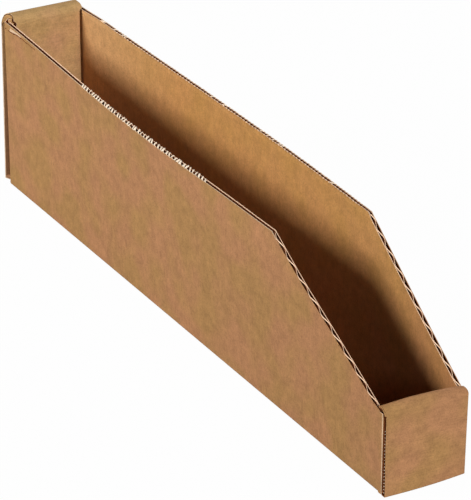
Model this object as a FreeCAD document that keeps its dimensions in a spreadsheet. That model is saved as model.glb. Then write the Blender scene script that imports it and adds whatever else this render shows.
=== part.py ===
# Long narrow corrugated bin box, open at the top, folded from one die-cut blank.
#
# Frame: millimetres, +Z up, X across the box, Y along it with the low front at -Y.
# The origin is at the middle of the footprint, on the surface that the box stands on.
#
# The blank is one piece of board, so it is one solid. It is built from three lengths of it:
# - the centre strip: front wall, bottom and back wall, with both walls rolled over and
#   locked into the bottom with a tab
# - the left side, with its creases and its two dust flaps
# - the right side, its mirror image
import FreeCAD, Part
import math
import os
import Sketcher
from FreeCAD import Vector

doc = FreeCAD.newDocument("bin_box")

# ---------------------------------------------------------------- driving dimensions
SIZES = [
    ("clear_width", 50.8, "inside, side to side at the bottom"),
    ("clear_length", 457.2, "inside, front wall to back wall"),
    ("clear_height", 114.3, "from the bottom's upper face to the level top edge"),
    ("board", 3.0, "thickness of the corrugated board"),
    ("liner", 0.35, "thickness of each outer sheet of the board"),
    ("medium", 0.3, "thickness of the waved sheet between them"),
    ("flute_pitch", 6.9, "from one wave of the medium to the next"),
    ("flute_crest", 1.3, "height over which a wave is glued to a liner"),
    ("flute_tip", 0.5, "length of a flute's blunt tip"),
    ("crease_round", 1.8, "outside radius of a crease, which is sharp inside"),
    ("crushed", 4.0, "length beside an upright crease where the flutes are crushed"),
    ("front_wall", 9.4, "front wall, through its three layers"),
    ("back_wall", 15.0, "back wall, through its three layers, which stand apart"),
    ("front_height", 56.5, "from the underside to the top of the front roll"),
    ("front_roll", 1.5, "inside radius of the front wall's rolled top"),
    ("back_roll", 2.5, "inside radius of the back wall's rolled top"),
    ("roll_gap", 0.5, "between the side's top edge and the back roll above it"),
    ("level_edge", 364.0, "level part of the side's top edge, from the back face"),
    ("side_bow", 5.4, "how far the side's top edge bulges out"),
    ("bow_lead", 0.37, "how much the bulge lies towards the front"),
    ("ply_gap", 0.3, "clearance between layers that lie on each other"),
    ("back_gap", 2.8, "between the back face's board and the dust flaps"),
    ("inner_play", 1.2, "between the edge of an inner wall and the side beside it"),
    ("wall_inset", 1.1, "how far the front and back faces stop short of the sides' faces"),
    ("front_roll_inset", 0.6, "the same for the front wall's rolled top"),
    ("back_roll_inset", 2.1, "the same for the back wall's rolled top"),
    ("flap_gap", 2.0, "between the two dust flaps of one end"),
    ("flap_drop", 1.5, "how far a dust flap stops short of its side's top edge"),
    ("tab_width", 22.0, "lock tab at the foot of each inner wall"),
    ("tab_play", 0.4, "clearance round a lock tab in its slot"),
    ("open_edge", 1.6, "depth of the hollow in an edge that is cut along the flutes"),
]
BOW_SPANS = 7                 # straight spans that make up the bow of a side
SAME_PLACE = 1e-4             # points nearer than this, in mm, are one point

sheet = doc.addObject("Spreadsheet::Sheet", "sizes")
for row, (alias, number, meaning) in enumerate(SIZES, start=1):
    sheet.set(f"A{row}", alias)
    sheet.set(f"B{row}", str(number))
    sheet.set(f"C{row}", meaning)
    sheet.setAlias(f"B{row}", alias)
doc.recompute()


def size(alias):
    return float(sheet.get(alias))


# Places that several pieces share, as expressions on the sheet.
HALF_LENGTH = "(sizes.clear_length + sizes.front_wall + sizes.back_wall) / 2"
HALF_WIDTH = "(sizes.clear_width / 2 + sizes.board)"
SIDE_TOP = "(sizes.clear_height + sizes.board)"
FRONT_TOP = "(sizes.front_height - sizes.board - sizes.ply_gap)"
BACK_HEIGHT = f"({SIDE_TOP} + sizes.roll_gap + sizes.board)"
LAYER_FOOT = "(sizes.board + sizes.ply_gap)"
FRONT_FLAP = f"(-{HALF_LENGTH} + sizes.board + sizes.ply_gap)"
BACK_FLAP = f"({HALF_LENGTH} - sizes.board - sizes.back_gap)"
FRONT_CREASE = f"({FRONT_FLAP} + sizes.board)"
BACK_CREASE = f"({BACK_FLAP} - sizes.board)"
INNER_HALF = "(sizes.clear_width / 2 - sizes.inner_play)"
BEYOND = "(sizes.board + sizes.side_bow)"

ALONG_Y_Z = FreeCAD.Rotation(Vector(1, 1, 1), 120)   # sketch x is Y, sketch y is Z
ALONG_X_Z = FreeCAD.Rotation(Vector(1, 0, 0), 90)    # sketch x is X, sketch y is Z


def worth(expression):
    return float(sheet.evalExpression(expression.replace("sizes.", "")))


# ---------------------------------------------------------------- helpers
def hold(sketch, kind, where, expression, name):
    """Adds a named constraint whose value follows the sheet."""
    number = sketch.addConstraint(Sketcher.Constraint(kind, *where, worth(expression)))
    sketch.renameConstraint(number, name)
    sketch.setExpression(f"Constraints.{name}", expression)


def new_sketch(name, rotation, base=Vector(0, 0, 0)):
    sketch = doc.addObject("Sketcher::SketchObject", name)
    sketch.Placement = FreeCAD.Placement(base, rotation)
    return sketch


def place(sketch, geometry, end, axis, expression, name):
    """Holds a point at a signed distance from the origin along one axis."""
    value = worth(expression)
    if value >= 0:
        hold(sketch, "Distance" + axis, (-1, 1, geometry, end), expression, name)
    else:
        hold(sketch, "Distance" + axis, (geometry, end, -1, 1), f"-({expression})", name)


def outline(name, rotation, corners):
    """A closed sketch of straight lines whose corners follow the sheet."""
    sketch = new_sketch(name, rotation)
    points = [Vector(worth(across), worth(up), 0) for across, up in corners]
    for number, point in enumerate(points):
        sketch.addGeometry(Part.LineSegment(point, points[(number + 1) % len(points)]))
    for number, (across, up) in enumerate(corners):
        following = (number + 1) % len(corners)
        sketch.addConstraint(Sketcher.Constraint("Coincident", number, 2, following, 1))
        place(sketch, number, 1, "X", across, f"across_{number}")
        place(sketch, number, 1, "Y", up, f"up_{number}")
    return sketch


def folded_line(name, rotation, corners, radii):
    """An open sketch of upright and level lines, joined by tangent arcs or sharp creases."""
    sketch = new_sketch(name, rotation)
    points = [Vector(worth(across), worth(up), 0) for across, up in corners]
    bends = []
    for number, radius in enumerate(radii, start=1):
        reach = worth(radius) if radius else 0
        back = (points[number - 1] - points[number]).normalize() * reach
        ahead = (points[number + 1] - points[number]).normalize() * reach
        middle = points[number] + (back + ahead) * (1 - math.sqrt(0.5))
        bends.append((points[number] + back, middle, points[number] + ahead))
    starts = [points[0]] + [bend[2] for bend in bends]
    stops = [bend[0] for bend in bends] + [points[-1]]
    for number, (start, stop) in enumerate(zip(starts, stops)):
        sketch.addGeometry(Part.LineSegment(start, stop))
        upright = abs(start.x - stop.x) < SAME_PLACE
        sketch.addConstraint(Sketcher.Constraint("Vertical" if upright else "Horizontal", number))
        across, up = corners[number]
        if upright:
            place(sketch, number, 1, "X", across, f"across_{number}")
        else:
            place(sketch, number, 1, "Y", up, f"up_{number}")
    last_line = len(starts) - 1
    place(sketch, 0, 1, "Y", corners[0][1], "first_end")
    place(sketch, last_line, 2, "Y", corners[-1][1], "last_end")
    for number, (radius, bend) in enumerate(zip(radii, bends)):
        if radius is None:
            sketch.addConstraint(Sketcher.Constraint("Coincident", number, 2, number + 1, 1))
        else:
            join_by_arc(sketch, number, number + 1, bend, radius, f"radius_{number}")
    return sketch


def join_by_arc(sketch, line, following, bend, radius, name):
    """An arc through three points, tangent to the end of one line and the start of another."""
    arc = sketch.addGeometry(Part.Arc(*bend))
    turned = sketch.getPoint(arc, 1).distanceToPoint(bend[0]) > SAME_PLACE
    first, last = (2, 1) if turned else (1, 2)
    sketch.addConstraint(Sketcher.Constraint("Tangent", line, 2, arc, first))
    sketch.addConstraint(Sketcher.Constraint("Tangent", arc, last, following, 1))
    hold(sketch, "Radius", (arc,), radius, name)


def sheet_of(name, line, thickness):
    """The flat section of a sheet that lies outside a line, which is its inside face."""
    section = doc.addObject("Part::Offset2D", name)
    section.Source = line
    section.Mode = "Skin"
    section.Join = "Intersection"
    section.Fill = True
    section.setExpression("Value", thickness)
    return section


def extrude(name, section, direction, length, symmetric=False):
    solid = doc.addObject("Part::Extrusion", name)
    solid.Base = section
    solid.DirMode = "Custom"
    solid.Dir = direction
    solid.Solid = True
    solid.Symmetric = symmetric
    solid.setExpression("LengthFwd", length)
    return solid


def block(name, low, high):
    """A box between two corners, each an (x, y, z) of expressions."""
    box = doc.addObject("Part::Box", name)
    for axis, side, least, most in zip("xyz", ("Length", "Width", "Height"), low, high):
        box.setExpression(f"Placement.Base.{axis}", least)
        box.setExpression(side, f"({most}) - ({least})")
    return box


def pair(name, low, high):
    """A box on the +X side and the same one mirrored to the -X side."""
    right = block(name + "_right", low, high)
    left_low = (f"-({high[0]})", low[1], low[2])
    left_high = (f"-({low[0]})", high[1], high[2])
    return [right, block(name + "_left", left_low, left_high)]


def fuse(name, pieces):
    joined = doc.addObject("Part::MultiFuse", name)
    joined.Shapes = pieces
    return joined


def cut(name, base, tool):
    result = doc.addObject("Part::Cut", name)
    result.Base = base
    result.Tool = tool
    return result


def common(name, base, tool):
    result = doc.addObject("Part::MultiCommon", name)
    result.Shapes = [base, tool]
    return result


# ---------------------------------------------------------------- centre strip
# The inside face of the board, followed from the foot of the inner front wall, over the
# front roll, along the bottom, over the back roll and down to the inner back wall's foot.
FRONT_FACE = f"(-{HALF_LENGTH})"
FRONT_INSIDE = f"(-{HALF_LENGTH} + sizes.front_wall)"
BACK_FACE = f"({HALF_LENGTH})"
BACK_INSIDE = f"({HALF_LENGTH} - sizes.back_wall)"

strip_line = folded_line(
    "strip_line", ALONG_Y_Z,
    [(f"{FRONT_INSIDE} - sizes.board", LAYER_FOOT),
     (f"{FRONT_INSIDE} - sizes.board", "sizes.front_height - sizes.board"),
     (f"{FRONT_FACE} + sizes.board", "sizes.front_height - sizes.board"),
     (f"{FRONT_FACE} + sizes.board", "sizes.board"),
     (f"{BACK_FACE} - sizes.board", "sizes.board"),
     (f"{BACK_FACE} - sizes.board", f"{BACK_HEIGHT} - sizes.board"),
     (f"{BACK_INSIDE} + sizes.board", f"{BACK_HEIGHT} - sizes.board"),
     (f"{BACK_INSIDE} + sizes.board", LAYER_FOOT)],
    ["sizes.front_roll", "sizes.front_roll", None, None, "sizes.back_roll", "sizes.back_roll"])
strip_section = sheet_of("strip_section", strip_line, "sizes.board")
sharp_strip = extrude("sharp_strip", strip_section, Vector(1, 0, 0),
                      f"2 * ({HALF_WIDTH} - sizes.front_roll_inset)", symmetric=True)
doc.recompute()
half_length = worth(HALF_LENGTH)


def is_bottom_crease(edge):
    middle = edge.CenterOfMass
    level_across = edge.BoundBox.XLength > size("clear_width")
    on_an_end = abs(abs(middle.y) - half_length) < SAME_PLACE
    return level_across and on_an_end and abs(middle.z) < SAME_PLACE


wide_strip = doc.addObject("Part::Fillet", "wide_strip")
wide_strip.Base = sharp_strip
wide_strip.Edges = [(number, size("crease_round"), size("crease_round"))
                    for number, edge in enumerate(sharp_strip.Shape.Edges, start=1)
                    if is_bottom_crease(edge)]

# What the blank leaves out at the strip's long edges: the bottom ends at the side creases, the
# outer walls stop short of the sides' faces, and the inner walls fit between the sides.
PAST_STRIP = f"({HALF_WIDTH} + sizes.board)"
BELOW = "-sizes.board"
edge_cuts = pair(
    "bottom_edge",
    ("sizes.clear_width / 2", f"{FRONT_FACE} + sizes.board", BELOW),
    (PAST_STRIP, f"{BACK_FACE} - sizes.board", LAYER_FOOT))
edge_cuts += pair(
    "front_edge",
    (f"{HALF_WIDTH} - sizes.wall_inset", f"{FRONT_FACE} - sizes.board", BELOW),
    (PAST_STRIP, f"{FRONT_FACE} + sizes.board",
     "sizes.front_height - sizes.board - sizes.front_roll"))
edge_cuts += pair(
    "back_edge",
    (f"{HALF_WIDTH} - sizes.wall_inset", f"{BACK_FACE} - sizes.board", BELOW),
    (PAST_STRIP, f"{BACK_FACE} + sizes.board", SIDE_TOP))
edge_cuts += pair(
    "back_roll_edge",
    (f"{HALF_WIDTH} - sizes.back_roll_inset", f"{BACK_INSIDE} - sizes.board", SIDE_TOP),
    (PAST_STRIP, f"{BACK_FACE} + sizes.board", f"{BACK_HEIGHT} + sizes.board"))
edge_cuts += pair(
    "inner_front_edge",
    (INNER_HALF, f"{FRONT_FLAP} - sizes.ply_gap / 2", "sizes.board"),
    (PAST_STRIP, f"{FRONT_INSIDE} + sizes.board", f"{FRONT_TOP} + sizes.ply_gap / 2"))
edge_cuts += pair(
    "inner_back_edge",
    (INNER_HALF, f"{BACK_INSIDE} - sizes.board", "sizes.board"),
    (PAST_STRIP, f"{BACK_FLAP} + sizes.ply_gap", f"{SIDE_TOP} + sizes.ply_gap"))


# The lock tabs reach down through the bottom, which has a slot for each.
def tab_box(name, near, play, low, high):
    """The tab, or with play its slot, under the inner wall whose board starts at near."""
    return block(name,
                 (f"-sizes.tab_width / 2 - {play}", f"{near} - {play}", low),
                 (f"sizes.tab_width / 2 + {play}", f"{near} + sizes.board + {play}", high))


INNER_WALLS = [("front", f"{FRONT_INSIDE} - sizes.board"), ("back", BACK_INSIDE)]
tabs = [tab_box(f"{end}_tab", near, "0", "0", LAYER_FOOT) for end, near in INNER_WALLS]
slots = [tab_box(f"{end}_slot", near, "sizes.tab_play", BELOW,
                 "sizes.board + sizes.ply_gap / 2")
         for end, near in INNER_WALLS]

# Edges cut along the flutes show the hollow between the two liners.
EXTRUDED_WIDTH = f"2 * {PAST_STRIP}"
to_inner_liner = extrude("to_inner_liner",
                         sheet_of("to_inner_liner_section", strip_line,
                                  "sizes.board - sizes.liner"),
                         Vector(1, 0, 0), EXTRUDED_WIDTH, symmetric=True)
outer_liner = extrude("outer_liner",
                      sheet_of("outer_liner_section", strip_line, "sizes.liner"),
                      Vector(1, 0, 0), EXTRUDED_WIDTH, symmetric=True)
hollow_strip = cut("hollow_strip", to_inner_liner, outer_liner)
HOLLOW_FOOT = "(2 * sizes.board)"
hollow_reach = fuse("hollow_reach", pair(
    "hollow_reach",
    (f"{INNER_HALF} - sizes.open_edge", FRONT_FACE, HOLLOW_FOOT),
    (PAST_STRIP, BACK_FACE, BACK_HEIGHT)))
open_edges = common("open_edges", hollow_strip, hollow_reach)

strip_cuts = fuse("strip_cuts", edge_cuts + slots + [open_edges])
trimmed_strip = cut("trimmed_strip", wide_strip, strip_cuts)
centre_strip = fuse("centre_strip", [trimmed_strip] + tabs)

# ---------------------------------------------------------------- one side
front_crease = worth(FRONT_CREASE)
back_crease = worth(BACK_CREASE)
side_foot = size("board")
side_top = worth(SIDE_TOP)
half_width = worth(HALF_WIDTH)
bow_end = back_crease - size("crushed")
stations = [front_crease + (bow_end - front_crease) * number / BOW_SPANS
            for number in range(BOW_SPANS + 1)]


def bulge(along, up):
    """How far the bowed side stands out at a place on it."""
    turn = math.pi * (along - front_crease) / (bow_end - front_crease)
    shape = math.sin(turn) * (1 + size("bow_lead") * math.cos(turn))
    return size("side_bow") * shape * (up - side_foot) / (side_top - side_foot)


def on_side(along, depth, up):
    """A point of the left side, at a depth from its outer face."""
    bow = bulge(along, up) if along < bow_end else 0
    return Vector(-half_width - bow + depth, along, up)


def board_section(along):
    board = size("board")
    corners = [on_side(along, 0, side_foot), on_side(along, board, side_foot),
               on_side(along, board, side_top), on_side(along, 0, side_top)]
    return Part.makePolygon(corners + corners[:1])


def flute_section(along, centre, from_outside):
    """One flute: flat on its liner, with two flanks that meet in a blunt tip."""
    half_base = (size("flute_pitch") - size("flute_crest")) / 2
    deep = size("board") - 2 * size("liner") - size("medium")
    taper = (half_base - size("flute_tip")) / deep
    shoulder = deep - size("flute_tip")
    half_tip = half_base - taper * shoulder

    def point(distance, offset):
        depth = size("liner") + distance
        if not from_outside:
            depth = size("board") - depth
        return on_side(along, depth, centre + offset)

    corners = [point(0, -half_base), point(0, half_base), point(shoulder, half_tip),
               point(deep, 0), point(shoulder, -half_tip)]
    return Part.makePolygon(corners + corners[:1])


def lofted(sections):
    return Part.makeLoft(sections, True, True)


side_board = doc.addObject("Part::Feature", "side_board")
side_board.Shape = lofted([board_section(along) for along in stations + [back_crease]])

# Flutes run along the box. Those that the sloped edge cuts across are open there, and the
# highest one is cut along its length by the level top edge.
lowest_flute = worth(FRONT_TOP) + size("flute_pitch") / 2
flute_count = int((side_top - lowest_flute) / (size("flute_pitch") / 2)) + 1
flutes = []
for number in range(flute_count):
    centre = side_top - number * size("flute_pitch") / 2
    flutes.append(lofted([flute_section(along, centre, number % 2 == 0)
                          for along in stations]))
side_flutes = doc.addObject("Part::Feature", "side_flutes")
side_flutes.Shape = Part.makeCompound(flutes)
fluted_side = cut("fluted_side", side_board, side_flutes)

side_outline = outline(
    "side_outline", ALONG_Y_Z,
    [(f"-{HALF_LENGTH}", "0"),
     (HALF_LENGTH, "0"),
     (HALF_LENGTH, SIDE_TOP),
     (f"{HALF_LENGTH} - sizes.level_edge", SIDE_TOP),
     (f"-{HALF_LENGTH} + sizes.front_wall", FRONT_TOP),
     (f"-{HALF_LENGTH}", FRONT_TOP)])
side_prism = extrude("side_prism", side_outline, Vector(-1, 0, 0), f"{HALF_WIDTH} + {BEYOND}")
side_panel = common("side_panel", fluted_side, side_prism)


def crease_sketch(name, rotation, corner, inwards):
    """A square of board with its outer corner rounded; inwards is +1 or -1 on each axis."""
    sketch = new_sketch(name, rotation)
    outer = Vector(worth(corner[0]), worth(corner[1]), 0)
    across, up = Vector(inwards[0], 0, 0), Vector(0, inwards[1], 0)
    board, radius = size("board"), size("crease_round")
    inner = outer + across * board + up * board
    arc_ends = (outer + up * radius, outer + across * radius)
    middle = outer + (across + up) * (radius * (1 - math.sqrt(0.5)))
    for start, stop in [(outer + across * board, inner), (inner, outer + up * board),
                        (outer + up * board, arc_ends[0]),
                        (arc_ends[1], outer + across * board)]:
        sketch.addGeometry(Part.LineSegment(start, stop))
    for before, after in ((0, 1), (1, 2), (3, 0)):
        sketch.addConstraint(Sketcher.Constraint("Coincident", before, 2, after, 1))
    for kind, line in (("Vertical", 0), ("Horizontal", 1), ("Vertical", 2), ("Horizontal", 3)):
        sketch.addConstraint(Sketcher.Constraint(kind, line))
    join_by_arc(sketch, 2, 3, (arc_ends[0], middle, arc_ends[1]), "sizes.crease_round", "round")
    for line, name_of_side in ((0, "upright"), (1, "level")):
        hold(sketch, "Distance", (line,), "sizes.board", name_of_side)
    place(sketch, 2, 1, "X", corner[0], "across")
    place(sketch, 3, 2, "Y", corner[1], "up")
    return sketch


side_pieces = [side_panel]

# The crease between the bottom and the side, as long as the side.
bottom_crease = extrude(
    "bottom_crease",
    crease_sketch("bottom_crease_section", ALONG_X_Z, (f"-{HALF_WIDTH}", "0"), (1, 1)),
    Vector(0, 1, 0), f"{BACK_CREASE} - {FRONT_CREASE}")
bottom_crease.setExpression("Placement.Base.y", FRONT_CREASE)
side_pieces.append(bottom_crease)

# The upright creases at the side's ends, and the dust flaps that stand behind them.
UPRIGHTS = [("front", FRONT_FLAP, 1, FRONT_FLAP, FRONT_TOP),
            ("back", BACK_FLAP, -1, f"{BACK_FLAP} - sizes.board", SIDE_TOP)]
for end, face, inwards, flap, top in UPRIGHTS:
    section = crease_sketch(f"{end}_crease_section", FreeCAD.Rotation(),
                            (f"-{HALF_WIDTH}", face), (1, inwards))
    upright = extrude(f"{end}_crease", section, Vector(0, 0, 1), f"{top} - {LAYER_FOOT}")
    upright.setExpression("Placement.Base.z", LAYER_FOOT)
    flap_box = block(f"{end}_flap",
                     ("-sizes.clear_width / 2", flap, LAYER_FOOT),
                     ("-sizes.flap_gap / 2", f"{flap} + sizes.board", f"{top} - sizes.flap_drop"))
    side_pieces += [upright, flap_box]

left_side = fuse("left_side", side_pieces)
right_side = doc.addObject("Part::Mirroring", "right_side")
right_side.Source = left_side
right_side.Normal = Vector(1, 0, 0)

# ---------------------------------------------------------------- the folded blank
bin_box = fuse("bin_box", [centre_strip, left_side, right_side])
doc.recompute()

SUB_PARTS = [bin_box]
for item in doc.Objects:
    failed = [state for state in item.State if state in ("Invalid", "Error")]
    if failed:
        raise RuntimeError(f"{item.Label}: {failed}")
for item in SUB_PARTS:
    if item.Shape.isNull() or not item.Shape.isValid():
        raise RuntimeError(f"{item.Label}: no valid shape")
    if len(item.Shape.Solids) != 1:
        raise RuntimeError(f"{item.Label}: {len(item.Shape.Solids)} solids, not one")

os.makedirs("parts", exist_ok=True)
for item in SUB_PARTS:
    item.Shape.exportStep(f"parts/{item.Label}.step")
    box = item.Shape.BoundBox
    print(f"{item.Label}: {box.XLength:.1f} x {box.YLength:.1f} x {box.ZLength:.1f} mm, "
          f"{item.Shape.Volume / 1000:.1f} cm3, {len(item.Shape.Faces)} faces")
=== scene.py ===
# %% [markdown]
# # A corrugated bin box
# The real box is one die-cut sheet of corrugated board: two flat papers, called liners, with a
# waved paper, called the medium, glued between them. It folds up and locks without glue.
# A plain thin box would hide all that, because the papers show at every cut edge. So this scene
# builds each of the three papers as its own thin sheet and folds them the way the board folds.

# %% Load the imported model
import math

import bpy
import numpy as np
from mathutils import Matrix, Vector


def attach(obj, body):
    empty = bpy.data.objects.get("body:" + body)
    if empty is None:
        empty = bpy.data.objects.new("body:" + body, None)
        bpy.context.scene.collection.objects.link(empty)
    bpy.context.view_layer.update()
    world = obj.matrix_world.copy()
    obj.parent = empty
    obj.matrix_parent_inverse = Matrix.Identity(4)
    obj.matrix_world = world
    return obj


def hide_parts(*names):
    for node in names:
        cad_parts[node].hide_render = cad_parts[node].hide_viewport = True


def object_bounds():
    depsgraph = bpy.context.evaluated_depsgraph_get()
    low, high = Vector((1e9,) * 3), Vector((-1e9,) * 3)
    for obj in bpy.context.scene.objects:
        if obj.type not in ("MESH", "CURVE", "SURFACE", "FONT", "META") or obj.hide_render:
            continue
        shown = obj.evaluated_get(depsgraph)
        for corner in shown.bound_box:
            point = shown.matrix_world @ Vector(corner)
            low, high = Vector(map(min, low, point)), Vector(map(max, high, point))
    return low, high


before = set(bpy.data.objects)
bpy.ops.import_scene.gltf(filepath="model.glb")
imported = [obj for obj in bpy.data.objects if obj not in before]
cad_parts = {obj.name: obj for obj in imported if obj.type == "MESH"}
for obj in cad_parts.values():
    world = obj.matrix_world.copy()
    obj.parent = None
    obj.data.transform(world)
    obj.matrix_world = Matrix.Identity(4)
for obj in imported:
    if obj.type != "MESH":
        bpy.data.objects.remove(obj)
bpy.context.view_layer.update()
print("nodes:", sorted(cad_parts))

# %% [markdown]
# ## The camera
# The box is shown from far away through a long lens, which keeps its long edges almost parallel.
# A camera can be turned by angles, but the last small tilt is easier with its three axes, so the
# view is written as a matrix of right, up and back.

# %% Aim the camera
MM = 0.001
VIEW_AZIMUTH = math.radians(-29.85)
VIEW_ELEVATION = math.radians(27.06)
VIEW_ROLL = math.radians(-0.11)
VIEW_DISTANCE = 2256.0 * MM
VIEW_TARGET = Vector((0.0, -21.95 * MM, 54.52 * MM))
SENSOR = 36.0
FOCAL_IN_FRAME_HEIGHTS = 7.3584
FARTHEST_SEEN = 20.0

back = Vector((math.sin(VIEW_AZIMUTH) * math.cos(VIEW_ELEVATION),
               -math.cos(VIEW_AZIMUTH) * math.cos(VIEW_ELEVATION),
               math.sin(VIEW_ELEVATION)))
level_right = Vector((math.cos(VIEW_AZIMUTH), math.sin(VIEW_AZIMUTH), 0))
level_up = back.cross(level_right)
right = level_right * math.cos(VIEW_ROLL) + level_up * math.sin(VIEW_ROLL)
up = level_up * math.cos(VIEW_ROLL) - level_right * math.sin(VIEW_ROLL)

camera = bpy.data.objects.new("camera", bpy.data.cameras.new("camera"))
bpy.context.scene.collection.objects.link(camera)
camera.matrix_world = Matrix.Translation(VIEW_TARGET + back * VIEW_DISTANCE) @ Matrix(
    (right, up, back)).transposed().to_4x4()
camera.data.sensor_width = SENSOR
camera.data.lens = SENSOR * FOCAL_IN_FRAME_HEIGHTS
camera.data.clip_end = FARTHEST_SEEN
bpy.context.scene.camera = camera
print("lens in mm:", round(camera.data.lens, 1))

# %% [markdown]
# ## Measures
# All lengths are in millimetres here, because board is sold that way, and they are turned into
# metres once, when a mesh is made. X runs across the box and Y along it, with the low front at
# -Y. The outside faces give the folds their places, and each paper lies at a depth below them.
# The box's length and height come from the CAD model, so that the two can't drift apart.

# %% Name the sizes of the board and the box
LEFT, RIGHT = -1, 1
BOARD = 3.0
LINER = 0.42
MEDIUM = 0.34
FLUTE_PITCH = 6.9
FLUTE_SWING = (BOARD - 2 * LINER - MEDIUM) / 2

low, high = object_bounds()
HALF_LENGTH = round(high[1] / MM, 1)
BACK_HEIGHT = round(high[2] / MM, 1)
HALF_WIDTH = 28.4
SIDE_TOP = 117.3
FRONT_HEIGHT = 56.5
FRONT_ROLL, BACK_ROLL = 9.4, 15.0
FRONT_INSIDE = FRONT_ROLL - HALF_LENGTH
BACK_INSIDE = HALF_LENGTH - BACK_ROLL
SIDE_FRONT = -234.5
SIDE_BACK = 232.0
print("box in mm:", [round((high[axis] - low[axis]) / MM, 1) for axis in range(3)])

# %% [markdown]
# ## Folding a sheet on paper
# Every fold of this box is a right angle, and seen from the side the board always turns the same
# way. So one helper can fold all three papers: it walks round the outside corners and gives the
# line at any depth below them. A paper deep inside a fold turns more tightly than the outer one,
# which is just what makes the inner liner pucker and the outer one stretch on the real board.

# %% Walk round the folds at a depth
ARC_STEPS = 8
TIGHTEST = 0.25


def folded_line(corners, radii, depth, steps):
    """Points and inward normals along right-angled folds, at a depth below the outside face."""
    corners = [np.array(corner, float) for corner in corners]
    heads = [(after - before) / np.linalg.norm(after - before)
             for before, after in zip(corners, corners[1:])]
    inward = [np.array((-head[1], head[0])) for head in heads]
    starts, stops, arcs = [corners[0] + depth * inward[0]], [], []
    for number, outer_radius in enumerate(radii, start=1):
        radius = max(outer_radius - depth, TIGHTEST)
        before, after = inward[number - 1], inward[number]
        centre = corners[number] + (depth + radius) * (before + after)
        turns = np.linspace(0, math.pi / 2, ARC_STEPS + 1)[:, None]
        normals = np.cos(turns) * before + np.sin(turns) * after
        arcs.append((centre - radius * normals, normals))
        stops.append(arcs[-1][0][0])
        starts.append(arcs[-1][0][-1])
    stops.append(corners[-1] + depth * inward[-1])
    points, normals = [], []
    for number, count in enumerate(steps):
        along = np.linspace(0, 1, count + 1)[:, None]
        line = starts[number] * (1 - along) + stops[number] * along
        skip = 1 if number else 0
        points.append(line[skip:])
        normals.append(np.repeat(inward[number][None], len(line) - skip, axis=0))
        if number < len(arcs):
            points.append(arcs[number][0][1:])
            normals.append(arcs[number][1][1:])
    return np.concatenate(points), np.concatenate(normals)


def travelled(points):
    """Length from the first point to each point of a line."""
    return np.concatenate([[0], np.cumsum(np.linalg.norm(np.diff(points, axis=0), axis=1))])


test_line, _ = folded_line([(0, 30), (0, 0), (20, 0)], [5], 1.0, [4, 4])
print("a test fold has", len(test_line), "points and is", round(travelled(test_line)[-1], 1), "mm")

# %% [markdown]
# ## From a grid of points to a paper
# A paper is a grid of points for its middle, thickened both ways along the grid's normals. The
# rim between the two faces is the cut, and gets its own finish. Blender's Solidify modifier does
# the same to a flat mesh. Doing it in code keeps the rims apart from the faces, lets the cut flare
# where the knife crushed it, and gives every point its place on the flat sheet as a UV, so that
# the paper's grain can run straight through the folds.

# %% Thicken a grid into two faces
SHORTEST_NORMAL = 1e-9


def two_faces(middle, thickness):
    """The upper and the lower face of a sheet, from the grid of its middle."""
    normal = np.cross(np.gradient(middle, axis=0), np.gradient(middle, axis=1))
    normal /= np.maximum(np.linalg.norm(normal, axis=2, keepdims=True), SHORTEST_NORMAL)
    half = np.broadcast_to(thickness, middle.shape[:2])[..., None] / 2
    return middle + normal * half, middle - normal * half


test_grid = np.stack([*np.meshgrid([0.0, 1.0], [0.0, 1.0]), np.zeros((2, 2))], axis=2)
upper, lower = two_faces(test_grid, LINER)
print("a test sheet is", round(float(np.abs(upper - lower).max()), 2), "mm thick")

# %% Collect grids into a paper
# PAINTED_FLUTE_SHADE is the flute paper painted near black, as painted shade.
FACE, CUT, PAINTED_FLUTE_SHADE, WORN_AND_HIGHLIT, PAINTED_PANEL_LIGHT = 0, 1, 2, 3, 4
OUTWARD, INWARD = (FACE, PAINTED_FLUTE_SHADE), (PAINTED_FLUTE_SHADE, FACE)
EDGES = ("first", "last", "left", "right")


class Paper:
    """One of the box's papers, collected from grids of points."""

    def __init__(self, name):
        self.name = name
        self.points, self.quads, self.flat, self.finish = [], [], [], []
        self.count = 0

    def add(self, middle, thickness, flat, faces, cut=EDGES, patch=None, rim=CUT):
        """Adds a grid of shape (rows, columns, 3).

        faces gives the finish of its upper and lower face, cut the edges that are real cuts, rim
        the finish of those, and patch a part of the good face and the other finish it has.
        """
        rows, columns = middle.shape[:2]
        self.points += [face.reshape(-1, 3) for face in two_faces(middle, thickness)]
        self.flat += [flat.reshape(-1, 2)] * 2
        number = np.arange(rows * columns).reshape(rows, columns) + self.count
        other = number + rows * columns
        self.count += 2 * rows * columns
        finish = [np.full((rows - 1, columns - 1), face) for face in faces]
        if patch is not None:
            finish[faces.index(FACE)][patch[0]] = patch[1]
        self.add_quads(number[:-1, :-1], number[1:, :-1], number[1:, 1:], number[:-1, 1:], finish[0])
        self.add_quads(other[:-1, :-1], other[:-1, 1:], other[1:, 1:], other[1:, :-1], finish[1])
        rims = {"first": (number[0], other[0]), "last": (number[-1][::-1], other[-1][::-1]),
                "left": (number[::-1, 0], other[::-1, 0]), "right": (number[:, -1], other[:, -1])}
        for edge in cut:
            near, far = rims[edge]
            self.add_quads(near[:-1], near[1:], far[1:], far[:-1], rim)

    def add_quads(self, one, two, three, four, finish):
        """Adds the quads between four equal sets of point numbers."""
        self.quads.append(np.stack([one.ravel(), two.ravel(), three.ravel(), four.ravel()], axis=1))
        self.finish.append(np.broadcast_to(finish, one.shape).ravel())


outer_paper = Paper("outer_paper")
inner_paper = Paper("inner_paper")
fluted_paper = Paper("fluted_paper")
torn_paper = Paper("torn_paper")
LINERS = ((outer_paper, LINER / 2), (inner_paper, BOARD - LINER / 2))
print("depths of the two liners:", [round(depth, 2) for _, depth in LINERS])

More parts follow.
